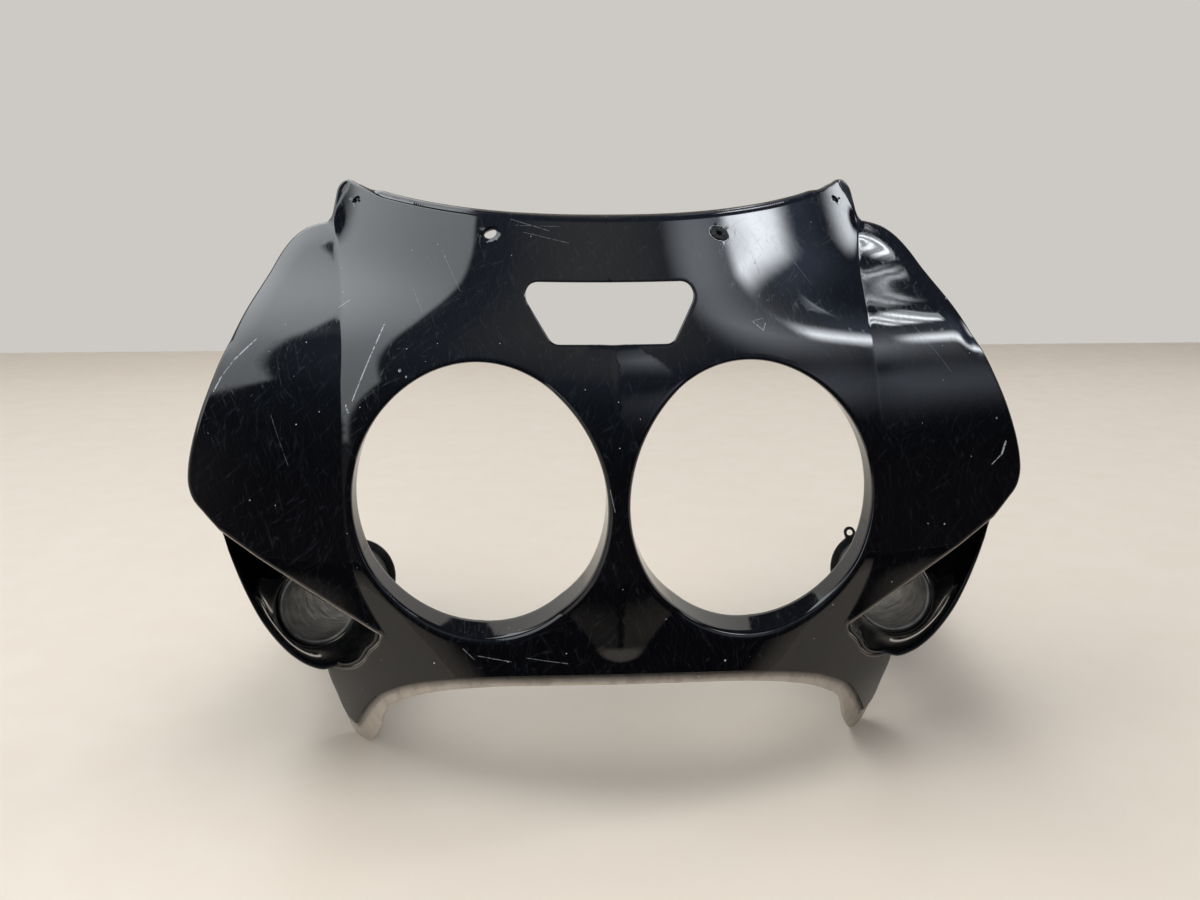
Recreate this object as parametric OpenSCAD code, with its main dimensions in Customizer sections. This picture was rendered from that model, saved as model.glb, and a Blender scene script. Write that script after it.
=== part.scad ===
// Motorcycle nose fairing with two round lamp holes, a display slot, side
// wings, ram-air scoops and two duct pipes. Millimetres, +Z up, the face
// looks along -Y, and X runs from one wing tip to the other.

/* [Face] */
// Wall thickness of the moulding
wall = 3; // [2:0.5:4]
// How far the foot of the face would lie ahead of the feet
face_reach = 90; // [80:1:100]
// Lean of the lower face, in mm back for each mm up
lower_lean = 0.22; // [0.15:0.01:0.3]
// Extra lean of the face above the brow, in mm back for each mm up
upper_lean = 0.93; // [0.7:0.01:1.1]
// Height at which the face turns back
brow_z = 208; // [200:1:220]
// Backward sweep of the face in plan, at 150 mm from the centre
face_sweep = 28; // [22:1:36]
// Extra sweep of the upper face, towards the ears
ear_sweep = 36; // [28:1:44]
// Extra sweep at the bottom of the legs
leg_sweep = 50; // [44:1:58]
// Height of the top edge at the centre
top_z = 302.5; // [296:0.5:310]
// Height of the bottom edge at the centre
bottom_z = 70.5; // [66:0.5:76]
// Height of the stepped lip along the bottom and top edges
lip_h = 5; // [3:0.5:8]

/* [Lamp holes] */
// Bore of each lamp hole
lamp_d = 141; // [130:1:143]
// Distance between the lamp centres
lamp_pitch = 153; // [150:1:158]
// Height of the lamp centres
lamp_z = 156; // [153:1:160]
// Depth of the lamp flanges behind the face
lamp_depth = 27; // [18:1:34]
// How much shallower the flanges get towards the sides, in mm for each mm out
lamp_taper = 0.11; // [0:0.01:0.14]

/* [Slot] */
// Width of the slot at its top
slot_top_w = 101; // [85:1:110]
// Width of the slot at its bottom
slot_low_w = 76; // [60:1:84]
// Height of the slot
slot_h = 32; // [24:1:36]
// Height of the slot's centre
slot_z = 252; // [248:1:256]
// Corner radius of the slot
slot_r = 7; // [4:1:10]

/* [Ears and screw holes] */
// Height of the ear tips
ear_z = 327; // [322:1:334]
// Distance of the ear tips from the centre
ear_x = 184; // [180:1:187]
// Distance between the screen screw holes
screw_pitch = 146; // [130:1:156]
// Height of the screen screw holes
screw_z = 294.5; // [288:0.5:296]
// Diameter of the screen screw holes
screw_hole_d = 8; // [6:0.5:9]
// Diameter of the seat around each screen screw hole
screw_seat_d = 13; // [11:0.5:15]
// Diameter of the ear holes
ear_hole_d = 5; // [4:0.5:6]
// Diameter of the seat around each ear hole
ear_seat_d = 8; // [7:0.5:10]
// Thickness of the moulding at every screw hole
seat_t = 4; // [3:0.5:5]

/* [Wings] */
// Distance of the wing tips from the centre
wing_x = 245; // [235:1:255]
// Height of the wing tips
wing_z = 162; // [156:1:168]
// Distance of the crease from the centre, beside the lamps
crease_x = 152; // [151:0.5:158]
// Slope of the wings in plan, in mm back for each mm out
wing_slope = 0.25; // [0.15:0.01:0.35]

/* [Scoops and duct pipes] */
// Bore of the duct pipes
pipe_d = 43; // [36:1:46]
// Wall thickness of the duct pipes
pipe_wall = 2.5; // [2:0.5:3]
// Length of the duct pipes
pipe_len = 152; // [148:1:154]
// Downward tilt of the duct pipes
pipe_tilt = 15.5; // [14:0.5:16]
// Turn of the left duct pipe in plan, outwards
left_turn = 0.5; // [-2:0.5:8]
// Turn of the right duct pipe in plan, outwards
right_turn = 11.5; // [-2:0.5:12]
// Diameter of the flange at the back of each pipe
flange_d = 58; // [54:1:60]
// Thickness of the flange
flange_t = 4; // [3:0.5:6]
// Angle of the screw lug around the flange, up from the left
lug_angle = 62; // [50:1:80]
// Clearance between a pipe and its collar
pipe_gap = 0.3; // [0.2:0.1:0.6]
// Length of the collar that carries each pipe
collar_len = 12; // [8:1:16]
// Distance of the pipe mouths from the centre
mouth_x = 180; // [178:1:183]
// Distance of the pipe mouths behind the feet
mouth_y = 32; // [28:1:36]

/* [Well nut] */
// Diameter of the rubber flange
nut_flange_d = 12; // [11:0.5:12.5]
// Thickness of the rubber flange
nut_flange_t = 1.2; // [1:0.1:1.6]
// Length of the rubber sleeve behind the flange
nut_len = 13; // [10:1:16]
// Diameter of the screw passage
nut_bore_d = 4.2; // [3.5:0.1:5]

/* [Hidden] */
$fn = 64;
plan_ref = 150;
brow_soft = 16;
leg_top = 120;
foot_top = 60;
foot_set = 7;
ear_turn_z = 253;
ear_turn_soft = 10;
crease_low_z = 150;
tip_z = 82;
side_x = 131;
ear_hole_x = ear_x - 12;
ear_hole_z = ear_z - 13.5;
corner_x = 224;
corner_z = 132;
notch_x = 193;
notch_z = 297.5;
foot_x = 149;
lip_back_low = 23;
lip_back_slope = 0.14;
scoop_low_z = 52;
joint_in = 1.2;
lamp_r = lamp_d / 2;
lamp_x = lamp_pitch / 2;
pipe_r = pipe_d / 2 + pipe_wall;
collar_r = pipe_r + pipe_gap;
nut_clear = 0.1;
seat_sink = 0.8;
// Length that reaches past the part on every side
far = 2 * (wing_x + ear_z);

// Height of the pipe mouths, so that the back flange just meets the ground
flange_r = flange_d / 2;
mouth_z = pipe_len * sin(pipe_tilt) + flange_r * cos(pipe_tilt);
// Frame: the origin is under the middle of the whole part's box
pipe_back = mouth_y + pipe_len * cos(pipe_tilt) + flange_r * sin(pipe_tilt);
ear_back = nose(ear_x, ear_z) + wall * steep(ear_x, ear_z);
back_y = max(pipe_back, ear_back);
front_y = face_y(bottom_z);
mid_y = (front_y + back_y) / 2;

// Smooth ramp: 0 well below zero, the value itself well above it
function soft(v, s) = v / s > 30 ? v : s * ln(1 + exp(v / s));
function part_of(v) = max(0, v);

// Profile of the face on the centre line, and its sweep in plan
function face_y(z) =
    -face_reach + lower_lean * z + upper_lean * soft(z - brow_z, brow_soft)
    + foot_set * pow(part_of(1 - z / foot_top), 1.5);
function sweep(z) =
    face_sweep + leg_sweep * pow(part_of(1 - z / leg_top), 1.25)
    + ear_sweep / (1 + exp((ear_turn_z - z) / ear_turn_soft));
function nose(x, z) = face_y(z) + sweep(z) * pow(x / plan_ref, 2);

// Line of the crease between the face and a wing
function crease(z) =
    crease_x - 0.0053 * pow(part_of(crease_low_z - z), 2)
    + 0.07 * (z - crease_low_z) * (z > crease_low_z ? 1 : 0)
    + 0.45 * soft(z - 238, 9) - 0.9 * soft(z - 300, 4);
function wing(x, z) = let(c = crease(z)) nose(c, z) + wing_slope * (x - c);
function skin(x, z) = z < tip_z || x < crease(z) ? nose(x, z) : wing(x, z);

// Thickness along Y that gives the wall its true thickness
function steep(x, z) =
    let(e = 0.5, sx = skin(x + e, z) - skin(x, z), sz = skin(x, z + e) - skin(x, z))
    sqrt(1 + pow(sx / e, 2) + pow(sz / e, 2));
function face_normal(x, z) =
    let(e = 0.1, sx = (nose(x + e, z) - nose(x, z)) / e, sz = (nose(x, z + e) - nose(x, z)) / e,
        n = [sx, -1, sz])
    n / norm(n);

// Grid columns of the skin, denser across the face than across a wing
face_cols = 8;
wing_cols = 4;
grid_x_max = wing_x + 12;
row_low = -6;
row_step = 13.5;
row_count = ceil((ear_z - row_low) / row_step) + 1;
rows = [for (i = [0:row_count - 1])
    let(z = row_low + i * row_step) abs(z - tip_z) < row_step / 2 ? tip_z : z];
function column(z, k) =
    let(side = sign(k), n = abs(k), c = z < tip_z ? crease_x + 16 : crease(z))
    side * (n <= face_cols ? c * n / face_cols : c + (grid_x_max - c) * (n - face_cols) / wing_cols);

// Sheet between two depths behind the skin; in wall thicknesses plus mm
module sheet(from_walls, from_mm, to_walls, to_mm, taper = 0) {
    half = face_cols + wing_cols;
    cols = 2 * half + 1;
    n = row_count * cols;
    function depth(x, z, walls, mm) = skin(abs(x), z) + walls * wall * steep(abs(x), z) + mm;
    front = [for (z = rows) for (k = [-half:half])
        let(x = column(z, k)) [x, depth(x, z, from_walls, from_mm), z]];
    back = [for (z = rows) for (k = [-half:half])
        let(x = column(z, k))
        [x, depth(x, z, to_walls, to_mm) - taper * part_of(abs(x) - lamp_x), z]];
    function at(r, c) = r * cols + c;
    top = row_count - 1;
    last = cols - 1;
    faces = concat(
        [for (r = [0:top - 1]) for (c = [0:last - 1])
            each [[at(r, c), at(r + 1, c), at(r + 1, c + 1)], [at(r, c), at(r + 1, c + 1), at(r, c + 1)]]],
        [for (r = [0:top - 1]) for (c = [0:last - 1])
            each [[n + at(r, c), n + at(r + 1, c + 1), n + at(r + 1, c)],
                  [n + at(r, c), n + at(r, c + 1), n + at(r + 1, c + 1)]]],
        [for (c = [0:last - 1]) each [[at(0, c), at(0, c + 1), n + at(0, c + 1)], [at(0, c), n + at(0, c + 1), n + at(0, c)]]],
        [for (c = [0:last - 1]) each [[at(top, c), n + at(top, c + 1), at(top, c + 1)], [at(top, c), n + at(top, c), n + at(top, c + 1)]]],
        [for (r = [0:top - 1]) each [[at(r, 0), n + at(r, 0), n + at(r + 1, 0)], [at(r, 0), n + at(r + 1, 0), at(r + 1, 0)]]],
        [for (r = [0:top - 1]) each [[at(r, last), n + at(r + 1, last), n + at(r, last)], [at(r, last), at(r + 1, last), n + at(r + 1, last)]]]);
    polyhedron(concat(front, back), faces, convexity = 8);
}

// Outline of half the skin, seen from the front, from the centre line out
function top_edge(x) = top_z + 13 * pow(x / 152, 2.45);
half_outline = concat(
    [for (x = [0:19:152]) [x, top_edge(x)]],
    [[162, ear_z - 7.5], [ear_x - 12, ear_z - 3], [ear_x - 5, ear_z], [ear_x, ear_z],
     [ear_x + 4, ear_z - 5], [ear_x + 5, ear_z - 16], [ear_x + 6, ear_z - 25],
     [notch_x, notch_z], [200, 296], [208, 293], [215, 287], [220, 278], [223, 266]],
    [[227, 250], [230.5, 232], [235, 213], [240, 194], [wing_x - 1.5, wing_z + 15],
     [wing_x, wing_z + 3], [wing_x - 0.5, wing_z - 6], [wing_x - 4, wing_z - 14],
     [wing_x - 11, wing_z - 21], [corner_x, corner_z]],
    [[side_x, 80.5], [132.5, 75], [138.5, 68], [142.5, 61], [148, 56], [156, 52.5], [167, 51]],
    [[165.5, 41], [160.5, 26], [157, 17], [foot_x + 2.5, 12.5]],
    [[146, 24], [141, 33], [134, 42.5], [125, 49.5], [113, 56], [92, 62.5], [68, 66.5],
     [43, 69], [20, bottom_z - 0.3], [0, bottom_z]]);

// Outline of half the stepped lip that stands out past the skin
half_lip = concat(
    [for (x = [0:19:152]) [x, top_edge(x) + lip_h - 1]],
    [[160, ear_z - 9], [152, 306], [0, 296]]);
half_tongue = [
    [0, bottom_z - lip_h - 1.5], [43, 62.5], [92, 54.5], [109, 48], [121, 40.5], [129, 33],
    [134.5, 16], [139, 7], [142.5, 1.5], [145.5, 0], [foot_x + 3, 0], [foot_x + 6, 4],
    [foot_x + 9, 11], [163, 36], [150, 48], [128, 62], [92, 72], [43, 77], [0, 79]];

module mirrored() {
    children();
    mirror([1, 0, 0]) children();
}

// A flat outline pushed right through the part, front to back
module through(points) {
    translate([0, far, 0]) rotate([90, 0, 0]) linear_extrude(2 * far) polygon(points);
}

function whole(half) =
    concat(half, [for (i = [len(half) - 1:-1:0]) if (half[i][0] > 0) [-half[i][0], half[i][1]]]);

module skin_sheet() {
    intersection() {
        sheet(0, 0, 1, 0);
        through(whole(half_outline));
    }
}

module lip_sheet() {
    intersection() {
        sheet(0.75, 0, 1.7, 0);
        union() {
            through(whole(half_tongue));
            through(whole(half_lip));
        }
    }
}

// Flange that runs straight back from the rim of each lamp hole
module lamp_flanges() {
    intersection() {
        sheet(0, joint_in, 0, lamp_depth, lamp_taper);
        mirrored() translate([lamp_x, 0, lamp_z]) rotate([90, 0, 0])
            difference() {
                cylinder(r = lamp_r + wall, h = far, center = true, $fn = 96);
                cylinder(r = lamp_r, h = far + 1, center = true, $fn = 96);
            }
    }
}

module lamp_bores() {
    mirrored() translate([lamp_x, 0, lamp_z]) rotate([90, 0, 0])
        cylinder(r = lamp_r, h = far, center = true, $fn = 96);
}

module slot_hole() {
    top = slot_top_w / 2 - slot_r;
    low = slot_low_w / 2 - slot_r;
    rise = slot_h / 2 - slot_r;
    translate([0, far, slot_z]) rotate([90, 0, 0]) linear_extrude(2 * far)
        hull() for (s = [-1, 1]) {
            translate([s * top, rise]) circle(slot_r, $fn = 24);
            translate([s * low, -rise]) circle(slot_r, $fn = 24);
        }
}

// Puts its children on the face at (x, z), with +Z along the outward normal
module on_face(x, z) {
    n = face_normal(x, z);
    translate([x, nose(x, z), z]) rotate([0, acos(n[2]), atan2(n[1], n[0])]) children();
}

module screw_seat(d) {
    translate([0, 0, -seat_t - seat_sink]) cylinder(d = d, h = seat_t);
}

module screw_cut(d, seat) {
    translate([0, 0, -30]) cylinder(d = d, h = 60);
    translate([0, 0, -seat_sink]) cylinder(d = seat, h = 30);
}

// Closed loop of the scoop's mouth: along the wing's edge, then round the lip
mouth_steps = 8;
lip_arc = [
    [side_x, 80.5], [132.5, 75], [138.5, 68], [142.5, 61], [148, 56], [156, 52.5], [167, 52],
    [176, 55], [185, 61], [193, 69], [201, 79.5], [208, 92], [214, 105], [219.5, 119]];
inner_lip_points = 6;
mouth_loop = concat(
    [for (i = [0:mouth_steps - 1]) let(t = i / mouth_steps)
        [corner_x + (side_x - corner_x) * t, corner_z + (80.5 - corner_z) * t]],
    lip_arc);
function lip_y(x, z) = -lip_back_low + lip_back_slope * (z - scoop_low_z);
loop_n = len(mouth_loop);
function mouth_point(i) =
    let(p = mouth_loop[i], x = p[0], z = p[1], in = joint_in)
    i < mouth_steps ? [x, wing(x, z + in) + 2 * in, z + in]
    : i < mouth_steps + inner_lip_points ? [x - in, nose(x - in, z) + 2 * in, z]
    : [x, lip_y(x, z), z];
mouth_middle = [178, 0, 90];

// Ring k of the funnel between the mouth and the pipe, at radius offset r_off
funnel_rings = 7;
function funnel_point(i, k, inset) =
    let(t = k / (funnel_rings - 1), s = t * t * (3 - 2 * t),
        p = mouth_point(i), d = [mouth_middle[0] - p[0], 0, mouth_middle[2] - p[2]],
        a = atan2(p[2] - mouth_middle[2], p[0] - mouth_middle[0]),
        start = p + inset * d / norm(d),
        r = collar_r + wall - inset + joint_in,
        end = [mouth_x + r * cos(a), mouth_y - collar_len / 2, mouth_z + r * sin(a)])
    [start[0] + (end[0] - start[0]) * s, start[1] + (end[1] - start[1]) * t,
     start[2] + (end[2] - start[2]) * s];

module funnel() {
    outer = [for (k = [0:funnel_rings - 1]) for (i = [0:loop_n - 1]) funnel_point(i, k, 0)];
    inner = [for (k = [0:funnel_rings - 1]) for (i = [0:loop_n - 1]) funnel_point(i, k, wall)];
    m = funnel_rings * loop_n;
    last = (funnel_rings - 1) * loop_n;
    function nx(i) = (i + 1) % loop_n;
    faces = concat(
        [for (k = [0:funnel_rings - 2]) for (i = [0:loop_n - 1]) let(a = k * loop_n, b = a + loop_n)
            each [[a + i, a + nx(i), b + nx(i)], [a + i, b + nx(i), b + i]]],
        [for (k = [0:funnel_rings - 2]) for (i = [0:loop_n - 1]) let(a = m + k * loop_n, b = a + loop_n)
            each [[a + i, b + nx(i), a + nx(i)], [a + i, b + i, b + nx(i)]]],
        [for (i = [0:loop_n - 1]) each [[i, m + nx(i), nx(i)], [i, m + i, m + nx(i)]]],
        [for (i = [0:loop_n - 1])
            each [[last + i, last + nx(i), m + last + nx(i)], [last + i, m + last + nx(i), m + last + i]]]);
    polyhedron(concat(outer, inner), faces, convexity = 6);
}

// Puts its children at a pipe mouth, with +Z along the pipe, towards its back
module at_mouth(turn) {
    translate([mouth_x, mouth_y, mouth_z]) rotate([0, 0, -turn]) rotate([-90 - pipe_tilt, 0, 0]) children();
}

module scoop(turn) {
    difference() {
        union() {
            funnel();
            at_mouth(turn) translate([0, 0, -collar_len / 2 - 2]) cylinder(r = collar_r + wall, h = collar_len);
        }
        at_mouth(turn) translate([0, 0, -collar_len - 2]) cylinder(r = collar_r, h = 4 * collar_len);
    }
}

// The whole moulding, with wings, scoops and legs in one piece
module fairing_shell() {
    color([0.03, 0.03, 0.035]) translate([0, -mid_y, 0]) difference() {
        union() {
            skin_sheet();
            lip_sheet();
            lamp_flanges();
            scoop(right_turn);
            mirror([1, 0, 0]) scoop(left_turn);
            mirrored() on_face(screw_pitch / 2, screw_z) screw_seat(screw_seat_d);
            mirrored() on_face(ear_hole_x, ear_hole_z) screw_seat(ear_seat_d);
        }
        lamp_bores();
        slot_hole();
        mirrored() on_face(screw_pitch / 2, screw_z) screw_cut(screw_hole_d, screw_seat_d);
        mirrored() on_face(ear_hole_x, ear_hole_z) screw_cut(ear_hole_d, ear_seat_d - 2);
    }
}

// One duct pipe along +Z, with its back flange and a screw lug
module duct_pipe(lug_turn) {
    lug_d = 9;
    lug_at = flange_r + 2;
    difference() {
        union() {
            cylinder(r = pipe_r, h = pipe_len);
            translate([0, 0, pipe_len - flange_t]) cylinder(r = flange_r, h = flange_t);
            rotate([0, 0, lug_turn]) translate([-lug_at, 0, pipe_len - flange_t]) cylinder(d = lug_d, h = flange_t);
        }
        translate([0, 0, -1]) cylinder(d = pipe_d, h = pipe_len + 2);
        rotate([0, 0, lug_turn]) translate([-lug_at, 0, pipe_len - flange_t - 1]) cylinder(d = lug_d / 2, h = flange_t + 2);
    }
}

module right_duct_pipe() {
    color([0.2, 0.2, 0.2]) translate([0, -mid_y, 0]) at_mouth(right_turn) duct_pipe(lug_angle);
}

module left_duct_pipe() {
    color([0.2, 0.2, 0.2]) translate([0, -mid_y, 0]) mirror([1, 0, 0]) at_mouth(left_turn) duct_pipe(180 - lug_angle);
}

// Rubber well nut in the right screen hole
module well_nut() {
    color([0.08, 0.08, 0.08]) translate([0, -mid_y, 0]) on_face(screw_pitch / 2, screw_z)
        translate([0, 0, -seat_sink]) difference() {
            union() {
                cylinder(d = nut_flange_d, h = nut_flange_t);
                translate([0, 0, -nut_len]) cylinder(d = screw_hole_d - 2 * nut_clear, h = nut_len + 0.5);
            }
            translate([0, 0, -nut_len - 1]) cylinder(d = nut_bore_d, h = nut_len + nut_flange_t + 2);
        }
}

fairing_shell();
left_duct_pipe();
right_duct_pipe();
well_nut();
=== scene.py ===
"""Looks of a motorcycle nose fairing: one gloss black moulding, two duct pipes and a rubber well nut.

Lengths are millimetres in the part's own frame until solid() turns them into metres.
X runs across, the face looks along -Y, and the feet stand on z = 0.
"""
import math

import bmesh
import bpy
import numpy as np
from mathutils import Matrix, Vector, geometry


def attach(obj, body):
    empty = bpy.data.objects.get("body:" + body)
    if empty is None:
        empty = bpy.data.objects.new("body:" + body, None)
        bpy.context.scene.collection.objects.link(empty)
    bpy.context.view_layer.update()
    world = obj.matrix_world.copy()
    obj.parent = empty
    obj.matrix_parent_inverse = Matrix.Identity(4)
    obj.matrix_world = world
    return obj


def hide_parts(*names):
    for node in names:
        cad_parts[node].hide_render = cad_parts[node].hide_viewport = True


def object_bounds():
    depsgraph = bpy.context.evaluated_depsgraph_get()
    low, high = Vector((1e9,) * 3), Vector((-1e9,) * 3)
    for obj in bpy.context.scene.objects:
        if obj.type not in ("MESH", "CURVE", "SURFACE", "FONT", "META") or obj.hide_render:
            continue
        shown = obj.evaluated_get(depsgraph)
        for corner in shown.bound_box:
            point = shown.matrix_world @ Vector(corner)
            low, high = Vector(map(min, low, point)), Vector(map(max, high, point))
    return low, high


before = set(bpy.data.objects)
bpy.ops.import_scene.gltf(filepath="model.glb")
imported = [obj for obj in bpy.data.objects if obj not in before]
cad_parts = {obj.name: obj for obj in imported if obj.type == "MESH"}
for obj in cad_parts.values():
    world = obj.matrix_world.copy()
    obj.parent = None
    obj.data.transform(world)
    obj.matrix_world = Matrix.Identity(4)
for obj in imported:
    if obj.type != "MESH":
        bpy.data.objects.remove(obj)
cad_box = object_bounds()
MM = 0.001

# Face of the moulding, with the same sizes as the solid part
WALL = 3.0
FACE_REACH = 90.0
LOWER_LEAN = 0.22
UPPER_LEAN = 0.93
BROW_Z = 208.0
BROW_SOFT = 16.0
FACE_SWEEP = 28.0
EAR_SWEEP = 36.0
LEG_SWEEP = 50.0
PLAN_REF = 150.0
LEG_TOP = 120.0
FOOT_TOP = 60.0
FOOT_SET = 7.0
EAR_TURN_Z = 253.0
EAR_TURN_SOFT = 10.0
TOP_Z = 302.5
BOTTOM_Z = 70.5
CREASE_X = 152.0
CREASE_LOW_Z = 150.0
CREASE_SOFT = 0.4
WING_SLOPE = 0.28
WING_CURL = 0.10
WING_CURL_REACH = 22.0
TIP_Z = 82.0

# Openings
LAMP_R = 70.5
LAMP_X = 76.5
LAMP_Z = 156.0
LAMP_DEPTH = 27.0
LAMP_TAPER = 0.11
SLOT_TOP = 50.5
SLOT_LOW = 38.0
SLOT_H = 32.0
SLOT_Z = 252.0
SLOT_R = 7.0
# A screw hole: place x and z, radius, radius of its seat, boss behind it, and how far it flares
SCREW = (73.0, 294.5, 4.0, 6.5, 0.0, 2.2)
EAR_HOLE = (172.0, 313.5, 2.5, 3.0, 1.8, 0.0)
SEAT_SINK = 0.8
# The wing's top edge rolls back, more the nearer to the edge
SHOULDER_WIDE = 15.0
SHOULDER_DEEP = 5.0

# Edges: the rim of a lamp hole is a soft bead, and every other edge a small round
RIM_R = 3.0
EDGE_R = 1.4
LIP_STEP = 0.75
LIP_MORE = 0.7
LIP_RISE = 4.0

# Scoops and duct pipes
PIPE_R = 24.0
PIPE_BORE_R = 21.5
PIPE_LEN = 152.0
PIPE_TILT = 15.5
TURNS = {"left": 0.5, "right": 11.5}
FLANGE_R = 29.0
FLANGE_T = 4.0
LUG_R = 4.5
LUG_HOLE_R = 2.25
LUG_ANGLE = 62.0
COLLAR_R = 24.3
COLLAR_FRONT = -8.0
COLLAR_BACK = 4.0
MOUTH = np.array([180.0, 32.0, 68.5655])
MOUTH_MIDDLE = np.array([178.0, 90.0])
LIP_BACK_LOW = 23.0
LIP_BACK_SLOPE = 0.14
SCOOP_LOW_Z = 52.0
JOINT_IN = 1.2

# Fineness of the meshes
FRONT_GRID = 2.2
BACK_GRID = 4.0
EDGE_STEP = 1.6
LAMP_STEPS = 280
SHARP_TURN = 38

# Backdrop and floor
WALL_BACK = 1.3
WALL_HIGH = 0.68
WALL_COLOUR = "#cdcac5"
FLOOR_COLOUR = "#e0d5c6"
FLOOR_CLOUD = "#dccfbe"
# Glowing card over the floor in front, seen in reflections only: a painted reflection of the floor that
# darkens into painted shade; where it darkens (y), and from what to what
PAINTED_SHADE_FADE = (-240, -380)
REFLECTED_FLOOR_NEAR = "#cfc4b6"
PAINTED_SHADE_FAR = "#21171a"

# Camera: frame and focal length in pixels, row of the lens axis, place, tilt down and turn
FRAME_WIDE = 1200
FRAME_HIGH = 900
FOCAL_PIXELS = 1091.5
AXIS_ROW = 290
SENSOR = 36
CAMERA_AT = (-39.8, -622.8, 339.8)
CAMERA_TILT = 6.69
CAMERA_TURN = -3.0


def soft(v, s):
    """v where it is positive and 0 where it is negative, with a soft turn about s wide."""
    return s * np.logaddexp(0, v / s)


def ramp(v, low, high):
    """Smooth step from 0 at low to 1 at high."""
    t = np.clip((v - low) / (high - low), 0, 1)
    return t * t * (3 - 2 * t)


def face_y(z):
    """Depth of the face's middle line, which leans back at the brow and tucks in at the feet."""
    foot = FOOT_SET * np.maximum(0, 1 - z / FOOT_TOP) ** 1.5
    return -FACE_REACH + LOWER_LEAN * z + UPPER_LEAN * soft(z - BROW_Z, BROW_SOFT) + foot


def sweep(z):
    """How far the face sweeps back at PLAN_REF from the middle."""
    leg = LEG_SWEEP * np.maximum(0, 1 - z / LEG_TOP) ** 1.25
    return FACE_SWEEP + leg + EAR_SWEEP / (1 + np.exp((EAR_TURN_Z - z) / EAR_TURN_SOFT))


def nose(x, z):
    """Depth of the nose, a parabola in plan."""
    return face_y(z) + sweep(z) * (x / PLAN_REF) ** 2


def crease(z):
    low = 0.0053 * np.maximum(0, CREASE_LOW_Z - z) ** 2
    high = 0.07 * np.maximum(0, z - CREASE_LOW_Z) + 0.45 * soft(z - 238, 9) - 0.9 * soft(z - 300, 4)
    return CREASE_X - low + high


def wing(x, z):
    """Depth of the wing, which curves back a little on its way out from the crease."""
    t = x - crease(z)
    curl = WING_CURL * WING_CURL_REACH * (1 - np.exp(-np.clip(t, -20, 200) / WING_CURL_REACH))
    return nose(crease(z), z) + WING_SLOPE * t - curl


def skin(x, z):
    """Depth of the outer surface: the nose, and past the crease the flatter wing."""
    x = np.abs(x)
    c = crease(z)
    full = nose(x, z)
    turn = 2 * sweep(z) * c / PLAN_REF**2 - WING_SLOPE + WING_CURL
    past = full - wing(x, z)
    return full - ramp(z, TIP_Z - 6, TIP_Z + 2) * soft(past, CREASE_SOFT * turn)


def steep(x, z):
    """How much longer a wall is along Y than across."""
    e = 0.5
    sx = (skin(x + e, z) - skin(x - e, z)) / (2 * e)
    sz = (skin(x, z + e) - skin(x, z - e)) / (2 * e)
    return np.sqrt(1 + sx**2 + sz**2)


def face_normal(x, z):
    e = 0.1
    n = np.array([(nose(x + e, z) - nose(x, z)) / e, -1.0, (nose(x, z + e) - nose(x, z)) / e])
    return n / np.linalg.norm(n)


MID_Y = face_y(BOTTOM_Z) - cad_box[0].y / MM


# Curves in the plane of the outline


def through(points, step):
    """Evenly spaced points on a smooth curve through the given ones."""
    p = np.array(points, float)
    ends = np.vstack([2 * p[0] - p[1], p, 2 * p[-1] - p[-2]])
    gaps = np.linalg.norm(np.diff(ends, axis=0), axis=1) ** 0.5
    knots = np.concatenate([[0], np.cumsum(gaps)])
    fine = []
    for i in range(1, len(p)):
        k0, k1, k2, k3 = knots[i - 1:i + 3]
        q0, q1, q2, q3 = ends[i - 1:i + 3]
        t = np.linspace(k1, k2, 12, endpoint=False)[:, None]
        a1 = ((k1 - t) * q0 + (t - k0) * q1) / (k1 - k0)
        a2 = ((k2 - t) * q1 + (t - k1) * q2) / (k2 - k1)
        a3 = ((k3 - t) * q2 + (t - k2) * q3) / (k3 - k2)
        b1 = ((k2 - t) * a1 + (t - k0) * a2) / (k2 - k0)
        b2 = ((k3 - t) * a2 + (t - k1) * a3) / (k3 - k1)
        fine.append(((k2 - t) * b1 + (t - k1) * b2) / (k2 - k1))
    return even(np.vstack([*fine, p[-1:]]), step)


def even(points, step):
    """The same polyline with points every step mm, both ends kept."""
    p = np.array(points, float)
    run = np.concatenate([[0], np.cumsum(np.linalg.norm(np.diff(p, axis=0), axis=1))])
    at = np.linspace(0, run[-1], max(1, round(run[-1] / step)) + 1)
    return np.stack([np.interp(at, run, p[:, k]) for k in range(p.shape[1])], axis=1)


def circle(centre, r, count, start=0.0):
    a = start + np.arange(count) * 2 * math.pi / count
    return np.stack([centre[0] + r * np.cos(a), centre[1] + r * np.sin(a)], axis=1)


def top_edge(x):
    return TOP_Z + 13 * (x / 152) ** 2.45


def slot_half(step):
    """Right half of the display slot, from its bottom middle round to its top middle."""
    low = (SLOT_LOW - SLOT_R, SLOT_Z - SLOT_H / 2 + SLOT_R)
    top = (SLOT_TOP - SLOT_R, SLOT_Z + SLOT_H / 2 - SLOT_R)
    lean = math.atan2(top[0] - low[0], top[1] - low[1])
    first = np.linspace(-math.pi / 2, -lean, 8)
    second = np.linspace(-lean, math.pi / 2, 8)
    points = [(0, SLOT_Z - SLOT_H / 2)]
    points += [(low[0] + SLOT_R * math.cos(a), low[1] + SLOT_R * math.sin(a)) for a in first]
    points += [(top[0] + SLOT_R * math.cos(a), top[1] + SLOT_R * math.sin(a)) for a in second]
    points += [(0, SLOT_Z + SLOT_H / 2)]
    return even(points, step)


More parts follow.
